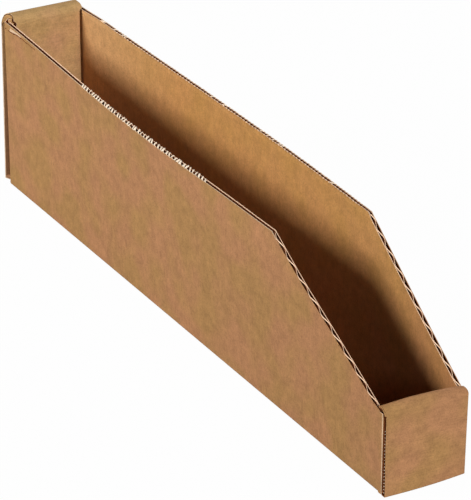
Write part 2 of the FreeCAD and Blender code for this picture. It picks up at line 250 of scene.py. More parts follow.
# %% [markdown]
# ## The bow of the sides
# An empty bin's long sides spring outwards along their top edges, because nothing holds them
# there. The bow is a smooth curve that is widest a little in front of the middle. The top strip of
# the near side has curled as well, in along its front half and out behind the middle. A lattice
# could bend the finished mesh, but a formula keeps the three papers exactly one board apart.

# %% Bow a side
BOW = {LEFT: 5.15, RIGHT: 5.7}
BOW_LEAD = {LEFT: 0.32, RIGHT: 0.30}
BOW_BACK = 228.0
CURL_KNOTS = [(-235.0, -1.75), (-85.0, -1.9), (65.0, 1.6), (232.0, -0.2)]
CURL_HEIGHT = 22.0
CURL_STIFFNESS = 1.5


def ramp(value, start, stop):
    """0 before the start, 1 past the stop, and evenly between them."""
    return np.clip((value - start) / (stop - start), 0, 1)


def eased(share):
    """A share from 0 to 1 that starts and stops gently."""
    return share * share * (3 - 2 * share)


def curl(along, height):
    """How far the near side's top strip curls out, or in where it is negative."""
    reach = np.zeros(np.broadcast(along, height).shape)
    for (start, first), (stop, last) in zip(CURL_KNOTS, CURL_KNOTS[1:]):
        here = (along >= start) & (along <= stop)
        share = eased(ramp(along, start, stop))
        reach = np.where(here, first + (last - first) * share, reach)
    return reach * ramp(height, SIDE_TOP - CURL_HEIGHT, SIDE_TOP) ** CURL_STIFFNESS


def bulge(side, along, height):
    """How far a side stands out at places along it."""
    turn = math.pi * ramp(along, SIDE_FRONT, BOW_BACK)
    shape = np.sin(turn) * (1 + BOW_LEAD[side] * np.cos(turn))
    stand_out = BOW[side] * shape * ramp(height, BOARD, SIDE_TOP)
    return stand_out + curl(along, height) if side == LEFT else stand_out


def side_grid(side, depth, along, height):
    """Points at a depth below the outer face of a side."""
    outside = side * (HALF_WIDTH - depth + bulge(side, along, height))
    return np.stack([outside, along, height], axis=2)


top_bow = bulge(LEFT, np.linspace(SIDE_FRONT, SIDE_BACK), SIDE_TOP)
print("widest bow:", round(float(top_bow.max()), 2), "mm")

# %% [markdown]
# ## The sides and the bottom
# The bottom and both sides are one wide trough: down one side, across, and up the other. Three
# planes with a Bevel modifier would give its shape, but not the papers inside it. Here each row
# of points keeps its height and runs from the front end to the back end, so on the sloped edge
# the rows just start further back. The rows then follow the flutes, which run along the box.

# %% Find where a row of a side starts and ends
SLOPE_END = {LEFT: 53.8, RIGHT: 52.9}
LEVEL_EDGE_END = {LEFT: -118.0, RIGHT: -125.5}
BACK_FOOT_LEAN = 2.4


def row_start(side, height):
    """The front end of a row at some height: the upright crease, or further up the slope."""
    rise = (height - SLOPE_END[side]) / (SIDE_TOP - SLOPE_END[side])
    slope = FRONT_INSIDE + rise * (LEVEL_EDGE_END[side] - FRONT_INSIDE)
    return np.where(height > SLOPE_END[side], slope, SIDE_FRONT)


def back_edge(height):
    """The back end of a row: the back crease stands a little forward at its foot."""
    return SIDE_BACK - BACK_FOOT_LEAN * (1 - ramp(height, 0, SIDE_TOP))


print("the top row runs from", float(row_start(LEFT, SIDE_TOP)), "to", float(back_edge(SIDE_TOP)))

# %% Fold the trough's two liners
SIDE_STEPS, BOTTOM_STEPS, LENGTH_STEPS = 54, 10, 80
STRIP_FOOT = 114.0
CREASE_RADIUS = 1.8
FOOT_SPLAY, SPLAY_NARROWNESS = 0.75, 8


def spread(start, stop, steps):
    """Rows of evenly spaced places between two columns of numbers."""
    share = np.linspace(0, 1, steps + 1)
    return np.asarray(start)[:, None] * (1 - share) + np.asarray(stop)[:, None] * share


def trough(depth):
    """The grid of the trough at a depth, with its places on the flat sheet."""
    corners = [(-HALF_WIDTH, STRIP_FOOT), (-HALF_WIDTH, 0), (HALF_WIDTH, 0),
               (HALF_WIDTH, STRIP_FOOT)]
    line, _ = folded_line(corners, [CREASE_RADIUS] * 2, depth,
                          [SIDE_STEPS, BOTTOM_STEPS, SIDE_STEPS])
    across, height = line[:, :1], line[:, 1]
    starts = np.where(line[:, 0] < 0, row_start(LEFT, height), row_start(RIGHT, height))
    ends = np.where(height > depth + TIGHTEST, back_edge(height), SIDE_BACK)
    along = spread(starts, ends, LENGTH_STEPS)
    height = np.repeat(height[:, None], LENGTH_STEPS + 1, axis=1)
    stand_out = np.where(across < 0, -bulge(LEFT, along, height), bulge(RIGHT, along, height))
    foot_share = ramp(along, SIDE_FRONT, SIDE_BACK) * (1 - ramp(height, 0, SIDE_TOP))
    near_share = ramp(-across, 0, HALF_WIDTH) ** SPLAY_NARROWNESS
    stand_out = stand_out - FOOT_SPLAY * foot_share * near_share
    grid = np.stack([across + stand_out, along, height], axis=2)
    flat = np.stack([np.repeat(travelled(line)[:, None], LENGTH_STEPS + 1, axis=1), along], axis=2)
    return grid, flat


for paper, depth in LINERS:
    grid, flat = trough(depth)
    if paper is outer_paper:
        paper.add(grid, LINER, flat, INWARD, cut=("left",), rim=FACE)
    else:
        paper.add(grid, LINER, flat, OUTWARD, cut=("left",))
print("rows in a trough:", grid.shape[0])

# %% [markdown]
# ## The level top edges
# The die that cut this blank has a toothed knife, and along the level edges the board is cut
# between two flutes. The cut is never clean: the liners end in small teeth, and on part of the
# near side they are torn over the groove. A displacement texture would need a dense mesh all
# over. Instead the last few millimetres of each liner are a strip of their own with points close
# enough together to carry the teeth, so the large flat part below can stay light.

# %% Say where the top edges are torn, pressed and dipped
TORN = {LEFT: (-39.0, 117.5), RIGHT: (-118.0, 190.0)}
TORN_CHANGE = 6.0
PINCH = {LEFT: 0.25, RIGHT: 0.85}
PUFFED = {LEFT: 0.95, RIGHT: 0.15}
BACK_DIP = {LEFT: 0.0, RIGHT: 0.9}
DIP_START, DIP_STOP = 205.0, 230.0


def torn_share(side, along):
    """1 where the edge is torn, 0 where it is clean, with a short change between."""
    start, stop = TORN[side]
    return ramp(along, start, start + TORN_CHANGE) * (1 - ramp(along, stop - TORN_CHANGE, stop))


def pinch(side, along, height):
    """How far the knife has pressed the inner liner towards the outer one near a top edge."""
    rise = ramp(height, STRIP_FOOT, SIDE_TOP)
    return PINCH[side] * (1 - PUFFED[side] * torn_share(side, along)) * rise ** 2


def back_dip(side, along):
    """How far a top edge dips towards its back end."""
    return BACK_DIP[side] * ramp(along, DIP_START, DIP_STOP)


clean_pinch = [float(pinch(side, DIP_START, SIDE_TOP)) for side in (LEFT, RIGHT)]
print("pinch of a clean top edge:", clean_pinch)

# %% Cut the toothed top of the liners
TOOTH_PITCH = 3.5
TOOTH_DEPTH = {LEFT: 0.75, RIGHT: 0.55}
CLEAN_TOOTH_DEPTH = 0.12
TOOTH_NOISE, DEEPEST_TOOTH = 0.18, 1.2
STRIP_STEPS, TOOTH_STEPS = 3, 5
CLEAN_FLARE = {LEFT: (1.35, 1.65), RIGHT: (1.7, 3.0)}
TORN_FLARE = {LEFT: (1.2, 1.2), RIGHT: (1.7, 3.0)}
ragged = np.random.default_rng(7)


def top_strip(side, depth, rough):
    """The top few millimetres of one liner of one side."""
    steps = int((SIDE_BACK - LEVEL_EDGE_END[side]) / TOOTH_PITCH * TOOTH_STEPS)
    heights = np.linspace(STRIP_FOOT, SIDE_TOP, STRIP_STEPS + 1)
    along = spread(row_start(side, heights), back_edge(heights), steps)
    teeth = np.abs(((along[-1] / TOOTH_PITCH + depth) % 1) * 2 - 1)
    teeth += rough.normal(0, TOOTH_NOISE, len(teeth))
    torn = torn_share(side, along[-1])
    tooth_depth = CLEAN_TOOTH_DEPTH + (TOOTH_DEPTH[side] - CLEAN_TOOTH_DEPTH) * torn
    height = np.repeat(heights[:, None], steps + 1, axis=1)
    height[-1] -= np.clip(teeth, 0, DEEPEST_TOOTH) * tooth_depth + back_dip(side, along[-1])
    pressed = pinch(side, along, height) if depth > BOARD / 2 else 0
    grid = side_grid(side, depth - pressed, along, height)
    flat = np.stack([side * (HALF_WIDTH + height), along], axis=2)
    return grid[:, ::side], flat[:, ::side]


for liner, (paper, depth) in enumerate(LINERS):
    for side in (LEFT, RIGHT):
        grid, flat = top_strip(side, depth, ragged)
        torn = torn_share(side, grid[-1, :, 1])
        thickness = np.full(grid.shape[:2], LINER)
        thickness[-1] *= CLEAN_FLARE[side][liner] * (1 - torn) + TORN_FLARE[side][liner] * torn
        paper.add(grid, thickness, flat, INWARD if paper is outer_paper else OUTWARD,
                  cut=("last", "left" if side == RIGHT else "right"),
                  rim=WORN_AND_HIGHLIT if paper is outer_paper else CUT)
print("points along a toothed edge:", grid.shape[1])

# %% [markdown]
# ## The medium in the sides
# The medium is a sine wave that just touches both liners. Its flutes run along the box, so the
# sloped edges cut them off and show the wave, drawn out to about twice its pitch because the cut
# is so slanted. The knife also crushes the wave a little, and unevenly. An Array modifier could
# repeat one flute, but a formula lets each one follow the bow and the pinch of its side.

# %% Wave the medium of both sides
WAVE_STEPS = 12
FLUTE_LENGTH_STEPS = 26
WAVE_SHIFT = 0.4
EDGE_HOLLOW = 0.9
CRUSHED_END = 4.0
CRUSHED_RIM = 1.7
CRUSH_NOISE = 0.12
DEEPEST = BOARD - LINER - MEDIUM / 2


def wave(place):
    """Depth of the medium below the outside face, at a place across the flutes."""
    return BOARD / 2 + FLUTE_SWING * np.cos(2 * math.pi * place / FLUTE_PITCH)


for side in (LEFT, RIGHT):
    flutes = int((SIDE_TOP - BOARD) / FLUTE_PITCH * WAVE_STEPS)
    heights = SIDE_TOP - EDGE_HOLLOW - np.arange(flutes + 1) * FLUTE_PITCH / WAVE_STEPS
    along = spread(row_start(side, heights), back_edge(heights) - CRUSHED_END,
                   FLUTE_LENGTH_STEPS)
    height = np.repeat(heights[:, None], FLUTE_LENGTH_STEPS + 1, axis=1)
    squeeze = 1 - CRUSH_NOISE * ragged.random((len(heights), 1))
    depth = BOARD / 2 + (wave(SIDE_TOP - height + WAVE_SHIFT) - BOARD / 2) * squeeze
    depth = np.minimum(depth, DEEPEST - pinch(side, along, height))
    grid = side_grid(side, depth, along, height)
    flat = np.stack([side * (HALF_WIDTH + height), along], axis=2)
    thickness = np.full(grid.shape[:2], MEDIUM)
    thickness[:, 0] *= CRUSHED_RIM
    fluted_paper.add(grid, thickness, flat, (PAINTED_FLUTE_SHADE, PAINTED_FLUTE_SHADE), cut=("left",))
print("flutes in a side:", flutes // WAVE_STEPS)

# %% [markdown]
# ## Torn fibres on the top edges
# Where the toothed knife went through the side of a flute, the medium did not come away cleanly.
# Each tooth pulled up a scrap of it, which now leans across the edge from the outer liner to the
# inner one. The scraps are lighter than the rest, because torn paper shows its loose fibres.
# Hair particles would scatter them anywhere. A loop sets one by each tooth, where it was torn.

# %% Shape one torn scrap
SCRAPS = {LEFT: {"span": (-40.0, 118.5), "kept": 0.95, "wide": 1.6, "rise": 0.75},
          RIGHT: {"span": (-120.0, 205.0), "kept": 0.12, "wide": 0.8, "rise": 0.3}}
SCRAP_ROWS, SCRAP_COLUMNS = 5, 3
SCRAP_SLANT, SCRAP_TAPER, SCRAP_FRAY = 1.8, 0.4, 0.14
SCRAP_INSET, SCRAP_SINK, SCRAP_ARCH, SCRAP_PIVOT = 0.1, 0.15, 0.25, 0.4
SLANT_RANGE, RISE_RANGE = (0.3, 1.9), (0.4, 1.5)


def torn_scrap(side, place, wide, rough):
    """One torn scrap of medium, as a small grid from the outer liner to the inner one."""
    share = np.linspace(0, 1, SCRAP_ROWS)[:, None]
    across = np.linspace(-0.5, 0.5, SCRAP_COLUMNS)[None]
    slant = SCRAP_SLANT * rough.uniform(*SLANT_RANGE)
    along = place + slant * (share - 0.5) + across * wide * (1 - SCRAP_TAPER * share)
    along = along + rough.normal(0, SCRAP_FRAY, along.shape)
    reach = BOARD - SCRAP_INSET - pinch(side, along, np.full_like(along, SIDE_TOP))
    depth = SCRAP_INSET + (reach - SCRAP_INSET) * share
    rise = SCRAPS[side]["rise"] * (share - SCRAP_PIVOT) + SCRAP_ARCH * np.sin(math.pi * share)
    height = SIDE_TOP - SCRAP_SINK + rise * rough.uniform(*RISE_RANGE) - back_dip(side, along)
    return side_grid(side, depth, along, height)


print("rises of the scraps in mm:", [scrap["rise"] for scrap in SCRAPS.values()])

# %% Lean the torn scraps across the edges
SCRAP_THICKNESS = 0.35
PLACE_NOISE = 0.4
WIDE_RANGE = (0.45, 1.35)

for side, scrap in SCRAPS.items():
    for tooth in np.arange(*scrap["span"], TOOTH_PITCH):
        if ragged.random() > scrap["kept"]:
            continue
        place = tooth + ragged.normal(0, PLACE_NOISE)
        wide = scrap["wide"] * ragged.uniform(*WIDE_RANGE)
        grid = torn_scrap(side, place, wide, ragged)
        torn_paper.add(grid, SCRAP_THICKNESS, grid[..., 1:], (FACE, FACE), rim=FACE)
print("torn scraps:", torn_paper.count // (2 * SCRAP_ROWS * SCRAP_COLUMNS))

# %% [markdown]
# ## The split at the near side's back corner
# At the back end of the near side the outer liner has split away just below the top edge. Its
# lower lip stands off, the crack under it is dark, and the paper above it is rubbed pale. Cutting
# the big side open would spoil its even grid. Two narrow strips laid on its face show the same: one
# for the lifted lip, and one for the crack, whose dark flute finish is a painted shade.

# %% Split the outer liner
SPLIT_PLACES = [186.0, 213.0, 222.0, 231.8]
SPLIT_BELOW = [1.9, 1.9, 3.2, 3.4]
SPLIT_LIFT = [0.05, 0.25, 0.45, 0.5]
SPLIT_OPEN = [0.6, 0.95, 1.3, 1.4]
SPLIT_START = 0.4
SPLIT_ROWS, SPLIT_STEPS = 4, 60
SPLIT_NOISE, OPEN_RANGE = 0.06, (0.7, 1.2)
SPLIT_WORN = np.s_[:2, 10:31]
LIP_THICKNESS, CRACK_THICKNESS = 0.15, 0.06


def split_strip(along, upper, lower, lift):
    """A strip on the near side's face between two lines below its top, lifted at the lower one."""
    share = np.linspace(1, 0, SPLIT_ROWS)[:, None]
    height = SIDE_TOP - (upper * (1 - share) + lower * share)
    along = np.repeat(along[None], SPLIT_ROWS, axis=0)
    return side_grid(LEFT, -lift * share, along, height)[:, ::-1]


places = np.linspace(SPLIT_PLACES[0], SPLIT_PLACES[-1], SPLIT_STEPS)
below = np.interp(places, SPLIT_PLACES, SPLIT_BELOW) + ragged.normal(0, SPLIT_NOISE, SPLIT_STEPS)
lift = np.interp(places, SPLIT_PLACES, SPLIT_LIFT)
crack = np.interp(places, SPLIT_PLACES, SPLIT_OPEN) * ragged.uniform(*OPEN_RANGE, SPLIT_STEPS)
grid = split_strip(places, SPLIT_START, below, lift)
outer_paper.add(grid, LIP_THICKNESS, grid[..., 1:], INWARD, rim=WORN_AND_HIGHLIT, patch=(SPLIT_WORN, WORN_AND_HIGHLIT))
# Painted shade: a thin dark strip on the face stands for the shadowed inside of the crack.
grid = split_strip(places, below, below + crack, 0.0)
outer_paper.add(grid, CRACK_THICKNESS, grid[..., 1:], (PAINTED_FLUTE_SHADE, PAINTED_FLUTE_SHADE), rim=PAINTED_FLUTE_SHADE)
print("the split runs", round(SPLIT_PLACES[-1] - SPLIT_PLACES[0], 1), "mm along the edge")

# %% [markdown]
# ## The rolled end walls
# Each end of the bottom goes up as a wall, rolls over the side's dust flaps, and comes down again
# inside, where a tab locks it into the bottom. The roll is a wide soft fold over three layers,
# pressed from two score lines, and its hollow shows at its ends.
# Seen from the side an end wall is a line, so it could be a Curve object with an extrusion. The
# folding helper makes the line here, as for the trough, and it is then swept across the box. The
# flutes of a wall run up it.

# %% Set the sizes of the end walls
WALL_HALF = HALF_WIDTH - 1.1
BOTTOM_HALF = 25.4
INNER_HALF = 23.7
LAYER_FOOT = 3.3
FRONT_WALL = {
    "corners": [(FRONT_INSIDE, LAYER_FOOT), (FRONT_INSIDE, FRONT_HEIGHT),
                (-HALF_LENGTH, FRONT_HEIGHT), (-HALF_LENGTH, 0), (SIDE_FRONT, 0)],
    "radii": [4.5, 4.5, 0.6],
    "steps": [24, 1, 24, 2],
    "free_edge": "first",
    "top": FRONT_HEIGHT,
    "top_narrower": 0.0,
    "roll_half": HALF_WIDTH - 0.6,
    "outer_roll": (4.4, 2.4),
    "inner_roll": (4.4, 2.4),
    "pressed": 1.15,
}
BACK_WALL = {
    "corners": [(SIDE_BACK, 0), (HALF_LENGTH, 0), (HALF_LENGTH, BACK_HEIGHT),
                (BACK_INSIDE, BACK_HEIGHT), (BACK_INSIDE, LAYER_FOOT)],
    "radii": [0.6, 5.5, 5.5],
    "steps": [2, 50, 2, 50],
    "free_edge": "last",
    "top": BACK_HEIGHT,
    "top_narrower": 0.8,
    "roll_half": HALF_WIDTH - 2.1,
    "outer_roll": (6.5, 4.5),
    "inner_roll": (4.5, 3.0),
    "pressed": 1.4,
}


def wall_line(wall, depth):
    """An end wall seen from the side: its line at a depth, and the line's normals."""
    return folded_line(wall["corners"], wall["radii"], depth, wall["steps"])


for wall in (FRONT_WALL, BACK_WALL):
    flat_length = travelled(wall_line(wall, BOARD / 2)[0])[-1]
    print("an end wall is", round(flat_length), "mm long when it is laid flat")

# %% [markdown]
# ## The width of an end wall
# The outer layer of a wall is nearly as wide as the box and the inner one just fits inside it.
# The roll between them is wider again, because nothing holds it there, and the back roll's left
# end is torn. At the back the inner layer widens nearer the top than the outer one does, so each
# layer says between which two distances below the top it widens.

# %% Find the width and the torn end of a wall
OUTER_LAYER = 5.0
BOTTOM_TOP = BOARD + 0.1
TEAR_PLACES = [BACK_INSIDE, 228.0, 233.0, 237.0, 239.5, HALF_LENGTH]
TEAR_DEPTHS = [0.0, 2.2, 4.0, 2.4, 0.8, 0.4]
TEAR_START, TEAR_FULL = BACK_HEIGHT - 7.0, BACK_HEIGHT - 4.0


def half_width(wall, along, height):
    """Half the width of an end wall at each of its points."""
    is_inner = np.abs(along) < HALF_LENGTH - OUTER_LAYER
    outer_half = WALL_HALF - wall["top_narrower"] * ramp(height, 0, wall["top"])
    half = np.where(is_inner, INNER_HALF, outer_half)
    start, stop = (wall["top"] - np.where(is_inner, inner, outer)
                   for inner, outer in zip(wall["inner_roll"], wall["outer_roll"]))
    half = half + (wall["roll_half"] - half) * eased(ramp(height, start, stop))
    return np.where(is_inner & (height < BOTTOM_TOP), BOTTOM_HALF, half)


def torn_away(along, height):
    """How much of the back roll's left end is torn away, most at its crest."""
    missing = np.interp(along, TEAR_PLACES, TEAR_DEPTHS)
    return missing * ramp(height, TEAR_START, TEAR_FULL)


print("most of the back roll that is missing:", max(TEAR_DEPTHS), "mm")

# %% [markdown]
# ## How the ends have settled
# No folded box stands quite square. On this one the front roll is skewed and a little crowned,
# the foot of the front wall bows forward, and the back roll leans to one side. Proportional
# editing does this by hand in Blender. As a function it moves all three papers alike.

# %% Settle the ends the way this box stands
FRONT_SKEW, FRONT_SHIFT = 1.59, -0.13
FRONT_CROWN = [(-1.0, -1.2), (-0.3, 0.5), (0.3, 0.7), (0.8, 0.25), (1.0, -0.7)]
FRONT_FOOT = {"forward": 0.8, "middle": 1.2, LEFT: 0.8, RIGHT: -1.9}
FRONT_RIGHT = 0.45
FRONT_OUTER = FRONT_INSIDE - OUTER_LAYER
BACK_SKEW = 0.6
CROWN_POWER, FOOT_POWER, BACK_POWER = 6, 4, 8


def settle(along, across, height):
    """Leans and skews the ends of the box the way this one stands."""
    front = along < -HALF_LENGTH / 2
    place = across / HALF_WIDTH
    rise = ramp(height, 0, FRONT_HEIGHT)
    crown = np.interp(place, *zip(*FRONT_CROWN)) * rise ** CROWN_POWER
    front_lift = rise * (FRONT_SHIFT - FRONT_SKEW * place) + crown
    back_drop = BACK_SKEW * (place + 0.5) * ramp(height, 0, BACK_HEIGHT) ** BACK_POWER
    lifted = height + np.where(front, front_lift, -back_drop)
    foot = np.where(along < FRONT_OUTER, 1 - rise, 0)
    bow = FRONT_FOOT["middle"] * foot ** FOOT_POWER * np.cos(place * math.pi / 2)
    leaned = along - FRONT_FOOT["forward"] * foot - bow
    wider = np.where(across < 0, FRONT_FOOT[LEFT], FRONT_FOOT[RIGHT]) * foot
    moved_right = FRONT_RIGHT * ramp(along, FRONT_INSIDE, -HALF_LENGTH) * np.clip(place, 0, 1)
    return leaned, across * (1 + wider / HALF_WIDTH) + moved_right, lifted


corner = settle(-HALF_LENGTH, -WALL_HALF, 0)
print("the front left corner settles to", [round(float(place), 1) for place in corner])

# %% Make the grid of an end wall
END_COLUMNS = 26
EVEN_SHARES = np.linspace(-1, 1, END_COLUMNS + 1)
PRESSED_FROM, PRESSED_POWER = 0.86, 1.5
ROLL_DEPTH = 6.0
SLIT_COVER = 0.15


def end_wall(wall, depth, shares=EVEN_SHARES):
    """The grid of an end wall at a depth, which may change from column to column."""
    mid_line, normals = wall_line(wall, BOARD / 2)
    pressed = wall["pressed"] * ramp(np.abs(shares), PRESSED_FROM, 1)[None] ** PRESSED_POWER
    if np.isscalar(depth):
        places = np.repeat(wall_line(wall, depth)[0][:, None], len(shares), axis=1)
        if depth > BOARD / 2:
            places = places - normals[:, None] * pressed[..., None]
    else:
        depth = np.minimum(depth, DEEPEST - pressed)
        places = mid_line[:, None] + normals[:, None] * (depth - BOARD / 2)[..., None]
    along, height = mid_line.T
    if wall is BACK_WALL:
        missing = torn_away(along, height)
    else:
        below_roll = (along < FRONT_OUTER) & (height < FRONT_HEIGHT - ROLL_DEPTH)
        missing = -SLIT_COVER * below_roll
    across = half_width(wall, along, height)[:, None] * shares
    across = across + missing[:, None] * np.clip(-shares, 0, 1) ** 2
    flat_along = np.repeat(travelled(mid_line)[:, None], len(shares), axis=1)
    along, across, height = settle(places[..., 0], across, places[..., 1])
    return np.stack([across, along, height], axis=2), np.stack([across, flat_along], axis=2)


print("points in the back wall's grid:", end_wall(BACK_WALL, LINER / 2)[0].shape[:2])

# %% [markdown]
# ## The liners of the end walls
# Both liners of a wall are the same grid at two depths. The inner one is hardly seen, but in the
# hollow of a roll little light reaches it, so there it takes the dark flute finish as a painted
# shade. The back wall's cut is rubbed pale, and the paper on the inside of that wall is painted
# paler, a painted light.

# %% Roll the liners of the end walls
PAINTED_PANEL_LIGHT_REACH = 12.0

for wall in (FRONT_WALL, BACK_WALL):
    cut = ("left", "right", wall["free_edge"])
    for paper, depth in LINERS:
        grid, flat = end_wall(wall, depth)
        if paper is outer_paper:
            # Painted light: the inside of the back wall and the roll's top behind it get a paler
            # kraft.
            painted_panel_light = np.abs(grid[:-1, :-1, 1] - BACK_INSIDE) < PAINTED_PANEL_LIGHT_REACH
            paper.add(grid, LINER, flat, OUTWARD, cut, (painted_panel_light, PAINTED_PANEL_LIGHT),
                      rim=WORN_AND_HIGHLIT if wall is BACK_WALL else FACE)
        else:
            # Painted shade: in the roll's hollow the inner liner gets the dark flute finish.
            painted_roll_shade = grid[:-1, :-1, 2] > wall["top"] - ROLL_DEPTH
            paper.add(grid, LINER, flat, INWARD, cut, (painted_roll_shade, PAINTED_FLUTE_SHADE), rim=PAINTED_FLUTE_SHADE)
print("points down an end wall:", grid.shape[0])

# %% [markdown]
# ## The left ends of the rolls
# The knife has pressed the left end of each roll shut, so one doesn't look into it. Filling the
# end with one face would leave a hard flat lid. A few rows that run from the roll's curve to the
# straight line across its foot close it with a soft bulge.

# %% Close the left ends of the rolls
CAPS = ({"wall": FRONT_WALL, "depth": LINER / 2, "foot": 52.4, "bulge": 0.8},
        {"wall": BACK_WALL, "depth": 1.1, "foot": 112.5, "bulge": 0.4})
BACK_CAP_FRONT = 229.0
CAP_STEPS = 5

for cap in CAPS:
    left_cut = end_wall(cap["wall"], cap["depth"])[0][:, 0]
    curve = left_cut[left_cut[:, 2] > cap["foot"]]
    if cap["wall"] is BACK_WALL:
        curve = curve[curve[:, 1] >= BACK_CAP_FRONT]
    chord = np.linspace(curve[0], curve[-1], len(curve))
    share = np.linspace(0, 1, CAP_STEPS + 1)[None, :, None]
    grid = curve[:, None] * (1 - share) + chord[:, None] * share
    grid[..., 0] -= cap["bulge"] * np.sin(share[..., 0] * math.pi / 2)
    outer_paper.add(grid, LINER, grid[..., 1:], INWARD, cut=())
    print("the cap on a roll's end has", grid.shape[0], "rows")

# %% [markdown]
# ## The back wall's pressed cut
# Down its left side the back wall was cut with a dull knife, which pressed the outer liner over
# the flutes. One would otherwise look into the open flutes there. A strip down the cut, from just
# under the outer liner to the middle of the board, covers them as the liner does.

# %% Press the back wall's left cut over its flutes
PRESSED_DEPTHS = [0.2, 0.8, 1.4]
PRESSED_TOP = 113.0
PRESSED_THICKNESS = 0.3

grid = np.stack([end_wall(BACK_WALL, depth)[0][:, 0] for depth in PRESSED_DEPTHS], axis=1)
grid = grid[(grid[:, 0, 1] > HALF_LENGTH - 2 * BOARD) & (grid[:, 0, 2] < PRESSED_TOP)]
outer_paper.add(grid, PRESSED_THICKNESS, grid[..., 1:], INWARD, patch=(np.s_[:], WORN_AND_HIGHLIT), rim=WORN_AND_HIGHLIT)
print("points down the pressed cut:", grid.shape[0])

# %% [markdown]
# ## The medium of the end walls
# The flutes of an end wall run up it and over the roll, so the wave lies across the box. It is
# the same wave as in the sides. It stops a little short of both cuts, as crushed medium does.

# %% Wave the medium of the end walls
SET_BACK = 0.94
WALL_STEPS = int(2 * WALL_HALF / FLUTE_PITCH * WAVE_STEPS)
WALL_SHARES = np.linspace(-1, 1, WALL_STEPS + 1)

for wall in (FRONT_WALL, BACK_WALL):
    rows = len(wall_line(wall, BOARD / 2)[0])
    depth = np.repeat(wave(WALL_SHARES * WALL_HALF)[None], rows, axis=0)
    grid, flat = end_wall(wall, depth, WALL_SHARES * SET_BACK)
    fluted_paper.add(grid, MEDIUM, flat, (PAINTED_FLUTE_SHADE, PAINTED_FLUTE_SHADE),
                     cut=("left", "right", wall["free_edge"]), rim=PAINTED_FLUTE_SHADE)
print("columns across an end wall's medium:", grid.shape[1])

# %% [markdown]
# ## The burrs down the front wall's cut
# The toothed knife has left a burr of pale fibre every 2 mm down the left cut of the front wall,
# larger near the foot. They are flakes of half a millimetre, so each is a grid of three by three
# points, set on the cut by a loop and roughened so that no two are alike.

# %% Leave burrs down the front wall's left cut
BURR_PITCH, BURR_FOOT, BURR_TOP = 2.1, 3.0, 44.0
BURR_SIZE, BURR_LENGTHENED, BURR_TAPER = 0.28, 1.6, 0.6
BURR_DEPTH, BURR_OUT, BURR_THICKNESS = BOARD * 0.3, 0.2, 0.4
BURR_RANGE, BURR_NOISE = (0.6, 1.2), 0.05

left_cut = end_wall(FRONT_WALL, BURR_DEPTH)[0][:, 0]
left_cut = left_cut[left_cut[:, 1] < FRONT_OUTER]
left_cut = left_cut[np.argsort(left_cut[:, 2])]
burr_heights = np.arange(BURR_FOOT, BURR_TOP, BURR_PITCH)
for height in burr_heights:
    across, along = (np.interp(height, left_cut[:, 2], left_cut[:, axis]) for axis in (0, 1))
    size = BURR_SIZE * ragged.uniform(*BURR_RANGE) * (1 - BURR_TAPER * height / BURR_TOP)
    share = np.linspace(-0.5, 0.5, 3)
    grid = np.full((3, 3, 3), across - BURR_OUT)
    grid[..., 1] = along + share[:, None] * size * BURR_LENGTHENED
    grid[..., 2] = height + share[None] * size + ragged.normal(0, BURR_NOISE, (3, 3))
    torn_paper.add(grid, BURR_THICKNESS, grid[..., 1:], (FACE, FACE), rim=FACE)
print("burrs down the front wall:", len(burr_heights))

# %% [markdown]
# ## The dust flaps
# At both ends each side turns in behind the end wall as a dust flap. Only slivers of the flaps
# show, at the ends of the rolls and in the slits beside the end walls, but they hold the side's
# upright crease, which shows as a fine bright line at the front. There the crease's paper is
# painted pale, partly wear where the liner stretched and partly a painted highlight. A flap could
# be a plain box, but then the crease would be missing, so it is folded from a line like the rest.

# %% Fold a dust flap
FLAP_END = 1.0
FLAP_ROWS, FLAP_STEPS, TURN_STEPS = 16, 22, 1
FLAP_RADIUS = 0.9
FLAP_FOOT, FOOT_STEP = 0.3, (0.4, 0.8)
SPRUNG, SPRUNG_WIDTH = 0.7, 4.0
RIDGE_RISE, RIDGE_PLACE, RIDGE_WIDTH, RIDGE_POWER = 3.2, 24.6, 2.0, 4


def dust_flap(side, face, inwards, flap_top, crease_top, depth):
    """A flap and its upright crease, as level rows from the side's end to the free edge."""
    straight = SIDE_FRONT if inwards > 0 else SIDE_BACK
    corners = [(-HALF_WIDTH, straight * inwards), (-HALF_WIDTH, face * inwards),
               (-FLAP_END, face * inwards)]
    line, _ = folded_line(corners, [FLAP_RADIUS], depth, [TURN_STEPS, FLAP_STEPS])
    past_crease = ramp(line[:, 0], -HALF_WIDTH, BOARD - HALF_WIDTH)
    top = crease_top + (flap_top - crease_top) * past_crease
    if inwards < 0 and side == LEFT:
        ridge = np.exp(-((line[:, 0] + RIDGE_PLACE) / RIDGE_WIDTH) ** RIDGE_POWER)
        top = top + RIDGE_RISE * ridge
    foot_places = [BOTTOM_HALF + step for step in FOOT_STEP]
    foot = np.interp(-line[:, 0], foot_places, [LAYER_FOOT, FLAP_FOOT])
    height = spread(foot, top, FLAP_ROWS).T
    across = np.repeat(-side * line[None, :, 0], FLAP_ROWS + 1, axis=0)
    along = np.repeat(inwards * line[None, :, 1], FLAP_ROWS + 1, axis=0)
    if inwards > 0:
        near = ramp(np.abs(across), HALF_WIDTH - SPRUNG_WIDTH, HALF_WIDTH)
        along = along - SPRUNG * ramp(along, straight, face) * near
    else:
        along = along - (SIDE_BACK - back_edge(height))
    grid = np.stack([across, along, height], axis=2)
    flat = np.stack([height, np.repeat(travelled(line)[None], FLAP_ROWS + 1, axis=0)], axis=2)
    return grid[:, ::side * inwards], flat[:, ::side * inwards]


print("a flap reaches to", FLAP_END, "mm from the middle of the box")

# %% Turn all four flaps in
FRONT_FLAPS = {"face": -237.5, "inwards": 1, "flap_top": 51.7, "crease_top": 53.2}
BACK_FLAPS = {"face": 233.2, "inwards": -1, "flap_top": 115.8, "crease_top": SIDE_TOP}
HIGHLIT_WORN_CREASE = {LEFT: np.s_[:, -6:-3], RIGHT: np.s_[:, 3:6]}

